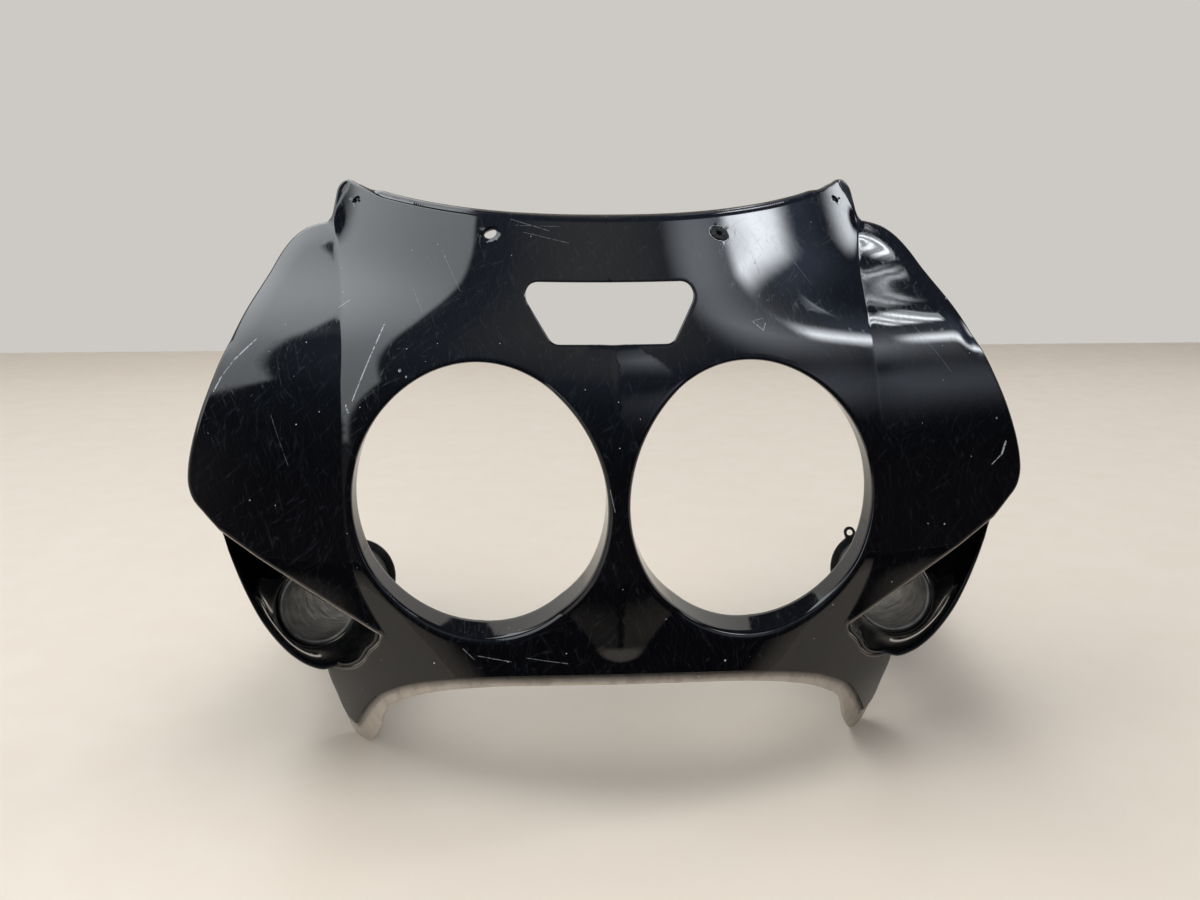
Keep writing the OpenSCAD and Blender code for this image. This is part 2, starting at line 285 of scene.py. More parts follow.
EAR = [(172, 324), (179, 326.6), (184, 326.6), (188, 322), (189.3, 311), (190.3, 302), (193, 297.5)]
SIDE = [(193, 297.5), (200, 296), (208, 293), (215, 287), (220, 278), (223, 266), (227, 250), (230.5, 232),
        (235, 213), (240, 194), (243.5, 177), (244.8, 165), (244.3, 156), (241, 148), (234, 141), (224, 132)]
WING_EDGE = [(224, 132), (131, 80.5)]
INNER_LIP = [(131, 80.5), (132.5, 75), (138.5, 68), (142.5, 61), (148, 56), (156, 52.5), (167, 51)]
LEG_SIDE = [(167, 51), (165.5, 41), (161.5, 28), (159.5, 18), (158, 11), (155, 4), (152, 0)]
TONGUE = [(145.5, 0), (142.5, 1.5), (139, 7), (134.5, 16), (129, 33), (121, 40.5), (109, 48), (92, 54.5),
          (68, 59.8), (43, 62.5), (20, 63.7), (0, 64)]
SKIN_LEG = [(162, 29), (157, 17), (151.5, 12.5)]
SKIN_LOW = [(151.5, 12.5), (146, 24), (141, 33), (134, 42.5), (125, 49.5), (113, 56), (92, 62.5),
            (68, 66.5), (43, 69), (20, 70.2), (0, BOTTOM_Z)]


def free_runs(step):
    """The moulding's free edge from the top middle round to the bottom middle, lips included."""
    lip = [(x, top_edge(x) + LIP_RISE) for x in np.linspace(0, 152, 17)]
    return [
        through(lip + [(160, 320.1)] + EAR[:1], step),
        through(EAR, step),
        through(SIDE, step),
        even(WING_EDGE, step),
        through(INNER_LIP, step),
        through(LEG_SIDE, step),
        even([LEG_SIDE[-1], TONGUE[0]], step),
        through(TONGUE, step),
    ]


def skin_runs(step):
    """Edge of the proud skin, where the moulding steps back to its lip."""
    return [
        through([(x, top_edge(x)) for x in np.linspace(0, 152, 17)] + [(162, 319.5), (170, 323)], step),
        through(SKIN_LEG, step),
        through(SKIN_LOW, step),
    ]


def chain(runs):
    """One polyline from runs that meet end to end."""
    return np.vstack([r[:-1] for r in runs] + [runs[-1][-1:]])


def distance(points, line):
    """Distance from each point to a polyline."""
    a = line[:-1]
    d = line[1:] - a
    long = np.maximum((d**2).sum(1), 1e-9)
    out = []
    for part in np.array_split(points, max(1, len(points) // 1500)):
        rel = part[:, None, :] - a[None]
        t = np.clip((rel * d).sum(2) / long, 0, 1)
        out.append(np.sqrt(((rel - t[..., None] * d) ** 2).sum(2).min(1)))
    return np.concatenate(out)


def inside(points, loop):
    """True for each point inside a closed loop."""
    a = loop
    b = np.roll(loop, -1, axis=0)
    out = []
    for part in np.array_split(points, max(1, len(points) // 1500)):
        z = part[:, 1][:, None]
        spans = (a[:, 1] > z) != (b[:, 1] > z)
        rise = np.where(b[:, 1] == a[:, 1], 1e-9, b[:, 1] - a[:, 1])
        cut = a[:, 0] + (z - a[:, 1]) / rise * (b[:, 0] - a[:, 0])
        out.append((spans & (part[:, 0][:, None] < cut)).sum(1) % 2 == 1)
    return np.concatenate(out)


def beside(line, offset):
    """The polyline moved sideways, to its right for a positive offset."""
    d = np.gradient(line, axis=0)
    d /= np.linalg.norm(d, axis=1)[:, None]
    return line + offset * np.stack([d[:, 1], -d[:, 0]], axis=1)


def fill(outer, holes, extra, spacing, clear):
    """Triangulates the area inside outer and outside the holes.

    Returns the points, the triangles, and for each loop the numbers of its points.
    """
    loops = [outer, *holes]
    lo, hi = outer.min(0), outer.max(0)
    xs = np.arange(lo[0] + spacing / 2, hi[0], spacing)
    zs = np.arange(lo[1] + spacing / 2, hi[1], spacing * 0.87)
    grid = np.array([(x + (k % 2) * spacing / 2, z) for k, z in enumerate(zs) for x in xs])
    fixed = np.vstack(loops + ([extra] if len(extra) else []))
    near = np.full(len(grid), 1e9)
    for part in np.array_split(fixed, max(1, len(fixed) // 400)):
        near = np.minimum(near, ((grid[:, None, :] - part[None]) ** 2).sum(2).min(1))
    keep = (near > clear**2) & inside(grid, outer)
    for hole in holes:
        keep &= ~inside(grid, hole)
    points = np.vstack([fixed, grid[keep]])
    edges = []
    start = 0
    for loop in loops:
        n = len(loop)
        edges += [(start + i, start + (i + 1) % n) for i in range(n)]
        start += n
    result = geometry.delaunay_2d_cdt([Vector(p) for p in points.tolist()], edges, [], 0, 1e-7, True)
    flat = np.array([tuple(v) for v in result[0]])
    tris = np.array([t for t in result[2] if len(t) == 3])
    new = np.full(len(points), -1)
    for k, origins in enumerate(result[3]):
        for o in origins:
            new[o] = k
    middle = flat[tris].mean(1)
    good = inside(middle, outer)
    for hole in holes:
        good &= ~inside(middle, hole)
    tris = tris[good]
    numbers = []
    start = 0
    for loop in loops:
        numbers.append(new[start:start + len(loop)])
        start += len(loop)
    return flat, tris, numbers


def bead(d, r):
    """How far a rounded edge of radius r falls back at distance d from the edge."""
    t = np.clip(r - d, 0, r)
    return r - np.sqrt(np.maximum(r**2 - t**2, 0))


class Stock:
    """Points and faces of one mesh, gathered piece by piece."""

    def __init__(self):
        self.points = []
        self.faces = []
        self.marks = []
        self.worn = []
        self.count = 0

    def add(self, points, faces=(), mark=0, worn=0.0):
        base = self.count
        self.points.append(np.asarray(points, float))
        self.worn.append(np.broadcast_to(worn, len(points)))
        self.count += len(points)
        self.join([[base + i for i in f] for f in faces], mark)
        return base

    def join(self, faces, mark=0):
        self.faces += [list(map(int, f)) for f in faces]
        self.marks += [mark] * len(faces)

    def strip(self, first, second, closed, mark=0):
        """Quads between two rows of point numbers."""
        n = len(first)
        self.join([
            [first[i], first[(i + 1) % n], second[(i + 1) % n], second[i]]
            for i in range(n if closed else n - 1)
        ], mark)

    def rings(self, rings):
        """Closed rings of points, one after another, joined by quads."""
        rows = [self.add(r) + np.arange(len(r)) for r in rings]
        for a, b in zip(rows, rows[1:]):
            self.strip(a, b, True)
        return rows


def solid(name, stock, materials, both=False):
    """One mesh object in metres, doubles merged and faces outwards."""
    points = np.vstack(stock.points)
    worn = np.concatenate(stock.worn)
    faces = stock.faces
    marks = stock.marks
    if both:
        n = len(points)
        points = np.vstack([points, points * [-1, 1, 1]])
        worn = np.concatenate([worn, worn])
        faces = faces + [[n + i for i in f[::-1]] for f in faces]
        marks = marks + marks
    points = (points - [0, MID_Y, 0]) * MM
    mesh = bpy.data.meshes.new(name)
    mesh.from_pydata(points.tolist(), [], faces)
    mesh.polygons.foreach_set("material_index", marks)
    mesh.attributes.new("worn", "FLOAT", "POINT").data.foreach_set("value", worn)
    for m in materials:
        mesh.materials.append(m)
    return tidy_mesh(name, mesh)


def tidy_mesh(name, mesh):
    """Object of a mesh, doubles merged, normals outwards, and edges sharp past SHARP_TURN."""
    work = bmesh.new()
    work.from_mesh(mesh)
    bmesh.ops.remove_doubles(work, verts=work.verts, dist=2e-6)
    bmesh.ops.dissolve_degenerate(work, edges=work.edges, dist=1e-7)
    bmesh.ops.recalc_face_normals(work, faces=work.faces)
    work.to_mesh(mesh)
    work.free()
    mesh.shade_smooth()
    mesh.set_sharp_from_angle(angle=math.radians(SHARP_TURN))
    made = bpy.data.objects.new(name, mesh)
    bpy.context.scene.collection.objects.link(made)
    return made


def joined(name, pieces):
    """Several objects as one mesh object."""
    with bpy.context.temp_override(active_object=pieces[0], selected_editable_objects=pieces):
        bpy.ops.object.join()
    pieces[0].name = name
    pieces[0].data.name = name
    return pieces[0]


# Shell


def hole_ring(hole, r, depth, count=40):
    """Points on a circle around a screw axis, at a depth behind the face along the normal."""
    x, z = hole[:2]
    n = face_normal(x, z)
    u = np.cross(n, [0, 0, 1.0])
    u /= np.linalg.norm(u)
    v = np.cross(n, u)
    a = np.arange(count)[:, None] * 2 * math.pi / count
    return np.array([x, nose(x, z), z]) - depth * n + r * (np.cos(a) * u + np.sin(a) * v)


def off_axis(hole, x, z):
    """Distance of skin points from a screw axis."""
    n = face_normal(*hole[:2])
    rel = np.stack([x - hole[0], skin(x, z) - nose(hole[0], hole[1]), z - hole[1]], axis=1)
    rel -= (rel @ n)[:, None] * n
    return np.linalg.norm(rel, axis=1)


class Sheets:
    """Half of the moulding as a front and a back sheet, joined round every edge."""

    def __init__(self):
        self.edge = chain(free_runs(EDGE_STEP))
        self.slot = slot_half(EDGE_STEP)
        self.low_mid = even([(0, self.edge[-1][1]), (0, self.slot[0][1])], FRONT_GRID)
        self.top_mid = even([(0, self.slot[-1][1]), (0, self.edge[0][1])], FRONT_GRID)
        self.outer = np.vstack([self.edge[:-1], self.low_mid[:-1], self.slot[:-1], self.top_mid[:-1]])
        self.free = [self.edge, self.slot]
        self.steps = chain(skin_runs(EDGE_STEP)[:1]), chain(skin_runs(EDGE_STEP)[1:])
        self.shoulder = through(SIDE[:8], EDGE_STEP)
        self.stock = Stock()

    def step_back(self, flat):
        """Signed distance past the skin's edge, positive on the lip."""
        off = np.minimum(*(distance(flat, line) for line in self.steps))
        return np.where(inside(flat, self.skin_loop()), -off, off)

    def skin_loop(self):
        """Closed outline of the proud skin, used to tell skin from lip."""
        runs = skin_runs(EDGE_STEP)
        side = chain(free_runs(EDGE_STEP)[1:6])
        side = side[(side[:, 1] > 30) | (side[:, 0] < 150)]
        grown = beside(side, -3.0)
        return np.vstack([runs[0], grown, runs[1], runs[2], [(-5, BOTTOM_Z), (-5, TOP_Z)]])

    def depths(self, flat, back):
        x, z = flat[:, 0], flat[:, 1]
        rolled = np.maximum(0, 1 - distance(flat, self.shoulder) / SHOULDER_WIDE)
        base = skin(x, z) + SHOULDER_DEEP * rolled**2
        s = steep(x, z)
        past = self.step_back(flat)
        edge = np.minimum(distance(flat, self.edge), distance(flat, self.slot))
        lamp = np.hypot(x - LAMP_X, z - LAMP_Z) - LAMP_R
        if back:
            y = base + WALL * s * (1 + LIP_MORE * ramp(past, -3.5, -1.5)) - bead(edge, EDGE_R)
            for hole in (SCREW, EAR_HOLE):
                y += hole[4] * s * (1 - ramp(off_axis(hole, x, z), hole[3], hole[3] + 1))
            return y
        y = base + LIP_STEP * WALL * s * ramp(past, -0.3, 0.9) + bead(edge, EDGE_R) + bead(lamp, RIM_R)
        for hole in (SCREW, EAR_HOLE):
            off = off_axis(hole, x, z)
            y += SEAT_SINK * s * (1 - ramp(off, hole[3] - 0.3, hole[3] + 0.3)) + bead(off - hole[2], 0.4)
        return y

    def rings_near(self, offsets):
        """Points beside every free edge, for the small round there."""
        rows = []
        for line in self.free:
            for off in offsets:
                moved = beside(line, off)
                rows.append(moved[distance(moved, line) > 0.9 * off])
        return np.vstack(rows)

    def sheet(self, back):
        grid = BACK_GRID if back else FRONT_GRID
        lamp_r = LAMP_R + WALL if back else LAMP_R
        lamp = circle((LAMP_X, LAMP_Z), lamp_r, LAMP_STEPS)
        holes = [lamp]
        extra = [self.rings_near((0.3, 0.8, 1.4, 2.6))]
        for off in (0.35, 0.9, 1.6, 2.3, 3.0, 4.2):
            if not back:
                extra.append(circle((LAMP_X, LAMP_Z), lamp_r + off, LAMP_STEPS, off))
        for hole in (SCREW, EAR_HOLE):
            depth = WALL + hole[4] if back else 0
            holes.append(hole_ring(hole, hole[2] + hole[5] * back, depth)[:, ::2])
            rise = (hole[3] - hole[2]) / 4
            around = [hole[2] + 0.2, hole[2] + 0.4, hole[3] - 0.3, hole[3], hole[3] + 0.3, hole[3] + 1]
            if rise <= 0.3:
                around = [hole[3] - 0.2, hole[3], hole[3] + 0.3, hole[3] + 1]
            for r in sorted(around):
                extra.append(hole_ring(hole, r, depth)[:, ::2])
        high = np.arange(TIP_Z, 318, EDGE_STEP)
        for off in (-1.0, -0.4, 0, 0.4, 1.0):
            extra.append(np.stack([crease(high) + off, high], axis=1))
        for line in self.steps:
            for off in (-1.5, -0.3, 0, 0.3, 0.6, 0.9, 1.5):
                extra.append(beside(line, off))
        extra = np.vstack(extra)
        extra = extra[(extra[:, 0] > 0.8) & inside(extra, self.outer)]
        extra = extra[distance(extra, self.edge) > 0.25]
        extra = extra[np.hypot(extra[:, 0] - LAMP_X, extra[:, 1] - LAMP_Z) > lamp_r + 0.2]
        for hole, loop in zip((SCREW, EAR_HOLE), holes[1:]):
            extra = extra[~inside(extra, loop) & (distance(extra, np.vstack([loop, loop[:1]])) > 0.15)]
        extra = thin(extra, 0.28)
        flat, tris, numbers = fill(self.outer, holes, extra, grid, grid * 0.62)
        y = self.depths(flat, back)
        points = np.stack([flat[:, 0], y, flat[:, 1]], axis=1)
        base = self.stock.add(points, tris, 1 if back else 0, 0.0 if back else self.wear(flat))
        return base, points, [base + n for n in numbers]

    def wear(self, flat):
        """How scuffed the front is: along the free edges, most on the wing's lower edge and the low lip."""
        line = np.clip(1 - distance(flat, self.edge) / 1.3, 0, 1) * 0.35
        low_edge = np.clip(1 - distance(flat, even(WING_EDGE, EDGE_STEP)) / 1.5, 0, 1) * 0.9
        lip = ramp(self.step_back(flat), 0.3, 6.5) * (flat[:, 1] < 74) * 0.9
        return np.max([line, low_edge, lip], axis=0)

    def build(self):
        _, front, front_loops = self.sheet(False)
        _, back, back_loops = self.sheet(True)
        n_edge = len(self.edge)
        n_low = len(self.low_mid) - 1
        n_slot = len(self.slot)
        outer_f, outer_b = front_loops[0], back_loops[0]
        self.stock.strip(outer_f[:n_edge], outer_b[:n_edge], False)
        slot = slice(n_edge - 1 + n_low, n_edge - 1 + n_low + n_slot)
        self.stock.strip(outer_f[slot], outer_b[slot], False)
        for k in (2, 3):
            self.stock.strip(front_loops[k], back_loops[k], True)
        self.lamp_tube(front_loops[1], back_loops[1])
        return self.stock

    def lamp_tube(self, rim, root):
        """Flange of a lamp hole, from the front rim to its rounded back edge and up its outside."""
        a = np.arange(LAMP_STEPS) * 2 * math.pi / LAMP_STEPS
        x_in, z_in = LAMP_X + LAMP_R * np.cos(a), LAMP_Z + LAMP_R * np.sin(a)
        x_out = LAMP_X + (LAMP_R + WALL) * np.cos(a)
        z_out = LAMP_Z + (LAMP_R + WALL) * np.sin(a)
        front_y = skin(x_in, z_in) + RIM_R
        end_in = skin(x_in, z_in) + LAMP_DEPTH - LAMP_TAPER * np.maximum(0, x_in - LAMP_X)
        end_out = skin(x_out, z_out) + LAMP_DEPTH - LAMP_TAPER * np.maximum(0, x_out - LAMP_X)
        end = (end_in + end_out) / 2
        back_y = skin(x_out, z_out) + WALL * steep(x_out, z_out)
        rings = []
        for t in np.linspace(0, 1, 9)[1:]:
            rings.append((LAMP_R, front_y + (end - 1.2 - front_y) * t))
        for turn in (30, 60, 90):
            b = math.radians(turn)
            rings.append((LAMP_R + 1.2 * (1 - math.cos(b)), end - 1.2 + 1.2 * math.sin(b)))
        for turn in (90, 60, 30, 0):
            b = math.radians(turn)
            rings.append((LAMP_R + WALL - 1.2 * (1 - math.cos(b)), end - 1.2 + 1.2 * math.sin(b)))
        for t in np.linspace(1, 0, 6)[1:-1]:
            rings.append((LAMP_R + WALL, back_y + (end - 1.2 - back_y) * t))
        rows = [rim]
        for r, y in rings:
            ring = np.stack([LAMP_X + r * np.cos(a), y, LAMP_Z + r * np.sin(a)], axis=1)
            rows.append(self.stock.add(ring) + np.arange(LAMP_STEPS))
        rows.append(root)
        for k, (p, q) in enumerate(zip(rows, rows[1:])):
            self.stock.strip(p, q, True, 0 if k < 12 else 1)


def thin(points, gap):
    """Drops points that lie closer than gap to an earlier one."""
    cell = np.round(points / gap).astype(int)
    _, first = np.unique(cell, axis=0, return_index=True)
    return points[np.sort(first)]


def lip_y(z):
    return -LIP_BACK_LOW + LIP_BACK_SLOPE * (z - SCOOP_LOW_Z)


MOUTH_LIP = [(131, 80.5), (132.5, 75), (138.5, 68), (142.5, 61), (148, 56), (156, 52.5), (167, 52), (176, 55),
             (185, 61), (193, 69), (201, 79.5), (208, 92), (214, 105), (219.5, 119), (224, 132)]


def mouth_loop():
    """Closed loop of a scoop's mouth: behind the wing's edge, then round the open lip."""
    chord = even(WING_EDGE, 3.0)
    chord_y = wing(chord[:, 0], chord[:, 1] + JOINT_IN) + 2 * JOINT_IN
    lip = through(MOUTH_LIP, 2.6)
    on_nose = nose(lip[:, 0] - JOINT_IN, lip[:, 1]) + 2 * JOINT_IN
    share = ramp(lip[:, 0], 154, 167)
    y = on_nose * (1 - share) + lip_y(lip[:, 1]) * share
    end = ramp(lip[:, 1], 119, 132)
    y = y * (1 - end) + chord_y[0] * end
    first = np.stack([chord[:-1, 0], chord_y[:-1], chord[:-1, 1] + JOINT_IN], axis=1)
    second = np.stack([lip[:-1, 0], y[:-1], lip[:-1, 1]], axis=1)
    return np.vstack([first, second])


def pipe_frame(turn):
    """Axes at a pipe mouth: across, down and along the pipe."""
    t, tilt = math.radians(turn), math.radians(PIPE_TILT)
    across = np.array([math.cos(t), -math.sin(t), 0])
    back = np.array([math.sin(t), math.cos(t), 0])
    along = back * math.cos(tilt) - np.array([0, 0, math.sin(tilt)])
    down = np.cross(along, across)
    return across, down, along


def scoop(turn):
    """Ram-air scoop: a lofted wall from the mouth to the collar that holds the pipe."""
    loop = mouth_loop()
    towards = np.stack([MOUTH_MIDDLE[0] - loop[:, 0], 0 * loop[:, 0], MOUTH_MIDDLE[1] - loop[:, 2]], axis=1)
    towards /= np.linalg.norm(towards, axis=1)[:, None]
    angle = np.arctan2(loop[:, 2] - MOUTH_MIDDLE[1], loop[:, 0] - MOUTH_MIDDLE[0])
    across, down, along = pipe_frame(turn)
    half = WALL / 2

    def round_axis(r, reach):
        return (MOUTH + r * (np.cos(angle)[:, None] * across - np.sin(angle)[:, None] * down)
                + reach * along)

    def loft(inset, r, t):
        start = loop + inset * towards + [0, half, 0]
        end = round_axis(r, COLLAR_FRONT)
        s = t * t * (3 - 2 * t)
        mix = start + (end - start) * s
        mix[:, 1] = start[:, 1] + (end[:, 1] - start[:, 1]) * t
        return mix

    rings = [loft(0, COLLAR_R + WALL, t) for t in np.linspace(0, 1, 25)]
    rings += [round_axis(COLLAR_R + WALL, r) for r in (-4, 0, COLLAR_BACK - 0.8)]
    rings += [round_axis(COLLAR_R + WALL - 0.25, COLLAR_BACK - 0.25)]
    rings += [round_axis(COLLAR_R + WALL - 0.8, COLLAR_BACK)]
    rings += [round_axis(COLLAR_R + 0.8, COLLAR_BACK), round_axis(COLLAR_R, COLLAR_BACK - 0.8)]
    rings += [round_axis(COLLAR_R, r) for r in (0, -4)]
    rings += [loft(WALL, COLLAR_R, t) for t in np.linspace(1, 0, 25)]
    for turn_by in (30, 60, 90, 120, 150):
        b = math.radians(turn_by)
        rings.append(loop + (half + half * math.cos(b)) * towards + [0, half * (1 - math.sin(b)), 0])
    stock = Stock()
    rows = stock.rings(rings)
    stock.strip(rows[-1], rows[0], True)
    return stock


# Duct pipe


def lathe(profile, count, axis_frame, origin):
    """Rings of a closed (radius, reach) profile turned round an axis."""
    across, down, along = axis_frame
    a = np.arange(count)[:, None] * 2 * math.pi / count
    rings = [origin + r * (np.cos(a) * across + np.sin(a) * down) + reach * along for r, reach in profile]
    stock = Stock()
    rows = stock.rings(rings)
    stock.strip(rows[-1], rows[0], True)
    return stock


def rounded(profile, r, parts=4):
    """A closed (radius, reach) profile with each corner rounded."""
    p = np.array(profile, float)
    out = []
    for i in range(len(p)):
        before, here, after = p[i - 1], p[i], p[(i + 1) % len(p)]
        a = (before - here) / np.linalg.norm(before - here)
        b = (after - here) / np.linalg.norm(after - here)
        for t in np.linspace(0, 1, parts):
            out.append(here + r * ((1 - t) ** 2 * a + t**2 * b))
    return out


def plate(loops, low, high, r, place):
    """A flat plate with rounded edges; place() turns (across, down, reach) into a point."""
    outer, holes = loops[0], loops[1:]
    free = [np.vstack([loop, loop[:1]]) for loop in loops]
    extra = []
    for line in free:
        for off in (0.3 * r, 0.7 * r, r):
            for side in (-off, off):
                extra.append(beside(line, side))
    extra = np.vstack(extra)
    extra = extra[inside(extra, outer)]
    for hole in holes:
        extra = extra[~inside(extra, hole)]
    near = np.min([distance(extra, line) for line in free], axis=0)
    extra = thin(extra[near > 0.25 * r], 0.2)
    stock = Stock()
    rows = []
    for reach, sign in ((low, 1), (high, -1)):
        flat, tris, numbers = fill(outer, holes, extra, 2.0, 1.2)
        d = np.min([distance(flat, line) for line in free], axis=0)
        base = stock.add(place(flat[:, 0], flat[:, 1], reach + sign * bead(d, r)), tris)
        rows.append([base + n for n in numbers])
    for first, second in zip(*rows):
        stock.strip(first, second, True)
    return stock


def flange_outline(lug_at):
    """Round flange with a screw lug, blended where they meet."""
    count = 240
    a = np.arange(count) * 2 * math.pi / count
    lug_x, lug_z = lug_at
    reach = math.hypot(lug_x, lug_z)
    away = np.angle(np.exp(1j * (a - math.atan2(lug_z, lug_x))))
    side = LUG_R**2 - (reach * np.sin(away)) ** 2
    far = reach * np.cos(away) + np.sqrt(np.maximum(side, 0))
    lug = np.where((side > 0) & (np.abs(away) < 1), far, 0)
    r = FLANGE_R + soft(lug - FLANGE_R, 0.35) - soft(-FLANGE_R, 0.35)
    return np.stack([r * np.cos(a), r * np.sin(a)], axis=1)


def duct_pipe(name, turn, lug_turn, sign, material):
    """One pipe along its own axis; sign -1 mirrors it to the other side."""
    axis_frame = pipe_frame(turn)
    across, down, along = axis_frame
    inner = rounded([(PIPE_BORE_R, 0), (PIPE_R, 0), (PIPE_R, PIPE_LEN - 0.5), (PIPE_BORE_R, PIPE_LEN)], 0.6)
    long = []
    for i, (r, reach) in enumerate(inner):
        long.append((r, reach))
        following = inner[(i + 1) % len(inner)]
        if abs(following[1] - reach) > 50:
            long += [(r, reach + (following[1] - reach) * k / 16) for k in range(1, 16)]
    tube = lathe(long, 96, axis_frame, MOUTH)
    # worn is 1 on the bore, where the duct's material paints grey dust with painted light on it
    tube.worn = [np.full(len(ring), float(r < PIPE_R - 1)) for ring, (r, _) in zip(tube.points, long)]
    lug = math.radians(lug_turn)
    lug_at = -(FLANGE_R + 2) * np.array([math.cos(lug), math.sin(lug)])
    loops = [flange_outline(lug_at), circle((0, 0), PIPE_R - 1, 120), circle(lug_at, LUG_HOLE_R, 32)]

    def place(u, v, reach):
        return (MOUTH + u[:, None] * across + v[:, None] * down
                + (reach * np.ones(len(u)))[:, None] * along)

    ring = plate(loops, PIPE_LEN - FLANGE_T, PIPE_LEN, 0.7, place)
    pieces = []
    for part, stock in (("tube", tube), ("ring", ring)):
        stock.points = [p * [sign, 1, 1] for p in stock.points]
        pieces.append(solid(f"{name}_{part}", stock, [material]))
    return joined(name, pieces)


def well_nut(material):
    """Rubber well nut in the right screen hole: a thin flange, a sleeve and a screw passage."""
    x, z = SCREW[:2]
    n = face_normal(x, z)
    u = np.cross(n, [0, 0, 1.0])
    u /= np.linalg.norm(u)
    origin = np.array([x, nose(x, z), z]) - SEAT_SINK * n
    profile = rounded([(2.1, -13), (3.85, -13), (3.85, 0.05), (5.95, 0.05), (5.95, 1.15), (2.1, 1.15)], 0.35)
    stock = lathe(profile, 72, (u, np.cross(n, u), n), origin)
    return solid("rubber_well_nut", stock, [material])


# Materials


def linear(hex_colour):
    """sRGB hex to linear RGBA."""
    out = []
    for i in (1, 3, 5):
        c = int(hex_colour[i:i + 2], 16) / 255
        out.append(c / 12.92 if c <= 0.04045 else ((c + 0.055) / 1.055) ** 2.4)
    return (*out, 1.0)


def node(tree, kind, *inputs, take=0, **settings):
    """Adds one node and gives back one of its outputs, by place or by name.

    Inputs go to the sockets that the node shows, in order. Each is a socket to link to, a hex
    colour, a number or a vector. Settings are the node's own, or sockets by their names.
    """
    made = tree.nodes.new(f"ShaderNode{kind}")
    named = {}
    for key, value in settings.items():
        if hasattr(made, key):
            setattr(made, key, value)
        else:
            named[made.inputs[key.replace("_", " ")]] = value
    shown = [s for s in made.inputs if s.enabled]
    for socket, value in [*zip(shown, inputs), *named.items()]:
        if isinstance(value, bpy.types.NodeSocket):
            tree.links.new(socket, value)
        else:
            socket.default_value = linear(value) if isinstance(value, str) else value
    if isinstance(take, str):
        return made.outputs[take]
    outputs = [s for s in made.outputs if s.enabled]
    return outputs[take] if outputs else None


def new_material(name):
    """An empty material and its node tree."""
    made = bpy.data.materials.new(name)
    made.use_nodes = True
    made.node_tree.nodes.clear()
    return made, made.node_tree


# Scratches on the face: where each begins and ends (x, z), its width and how grey it is
SCRATCHES = (
    ((-134.5, 244), (-148.5, 205), 0.9, 0.9), ((-152, 202.5), (-150.5, 199), 1.5, 0.8),
    ((-213, 233.6), (-223.6, 223), 1.0, 0.9), ((-223.6, 223), (-229.5, 214), 0.6, 0.7),
    ((-229.5, 214), (-232.5, 206.8), 1.3, 0.8), ((-166.8, 250), (-160.7, 254), 0.6, 0.5),
    ((235.3, 174), (232, 167.4), 1.6, 0.9), ((232, 167.4), (224.8, 162.3), 0.8, 0.7),
    ((-60, 303.5), (-36, 297), 0.5, 0.25), ((-57, 300), (-30, 299.5), 0.4, 0.2),
    ((-52, 296), (-24, 290), 0.5, 0.2), ((-5, 167), (-2.5, 156), 0.5, 0.4),
    ((-76, 77), (-58, 75.5), 0.6, 0.35), ((-50, 78), (-28, 76), 0.6, 0.25), ((-84, 80), (-78, 75), 0.6, 0.3),
    ((84, 246), (87, 243.5), 0.7, 0.6), ((90, 241), (92, 244.5), 0.6, 0.6),
    ((87, 243.5), (90, 241), 0.5, 0.6), ((84, 246), (91, 247), 0.5, 0.4),
    ((-120, 262), (-112, 250), 0.4, 0.25), ((190, 240), (206, 214), 0.4, 0.2),
    ((-196, 196), (-184, 170), 0.4, 0.2), ((-104, 284), (-90, 262), 0.4, 0.2),
    ((120, 280), (131, 262), 0.4, 0.2),
)
# Small chips: middle (x, z) and radius
CHIPS = ((231, 187.6, 0.8), (225.7, 226, 0.8), (225, 250.6, 0.7), (-122, 221.5, 1.0), (-118, 218.5, 0.7),
         (-100, 70, 0.6), (191, 132, 0.6), (-206, 150, 0.6), (60, 100, 0.5))

SMOOTH = {"interpolation_type": "SMOOTHSTEP"}


def millimetres(tree):
    """Object coordinates in millimetres."""
    return node(tree, "VectorMath", node(tree, "TexCoord", take="Object"), 1000.0, operation="SCALE")


def patches(tree, where, size, detail, rough, low, high, least=0.0, greatest=1.0):
    """Soft patches about size mm across: noise from low to high, turned into least to greatest."""
    cloud = node(tree, "TexNoise", where, 1 / size, detail, rough)
    return node(tree, "MapRange", cloud, low, high, least, greatest, **SMOOTH)


def hairlines(tree, where, turn, length, gap, width):
    """Fine scratches that run one way: the edges of long thin cells."""
    bent = node(tree, "TexNoise", where, 1 / 90, 1.0, take="Color")
    push = node(tree, "VectorMath", bent, 30.0, operation="SCALE")
    moved = node(tree, "VectorMath", where, push, operation="ADD")
    laid = node(tree, "Mapping", moved, vector_type="TEXTURE",
                Rotation=(0, math.radians(turn), 0), Scale=(length, length, gap))
    cells = node(tree, "TexVoronoi", laid, feature="DISTANCE_TO_EDGE", Scale=1.0)
    line = node(tree, "MapRange", cells, width / gap, 0.0, **SMOOTH)
    return node(tree, "Math", line, patches(tree, laid, 0.8, 2, 0.5, 0.5, 0.62), operation="MULTIPLY")


def specks(tree, where, gap, size, share):
    """Round specks about size mm wide in cells gap mm apart, in a share of the cells."""
    cells = node(tree, "TexVoronoi", where, Scale=1 / gap)
    dot = node(tree, "MapRange", cells, size / gap / 2, size / gap / 5, **SMOOTH)
    pick = node(tree, "SeparateColor", cells.node.outputs["Color"])
    few = node(tree, "Math", pick, share, operation="LESS_THAN")
    return node(tree, "Math", dot, few, operation="MULTIPLY")


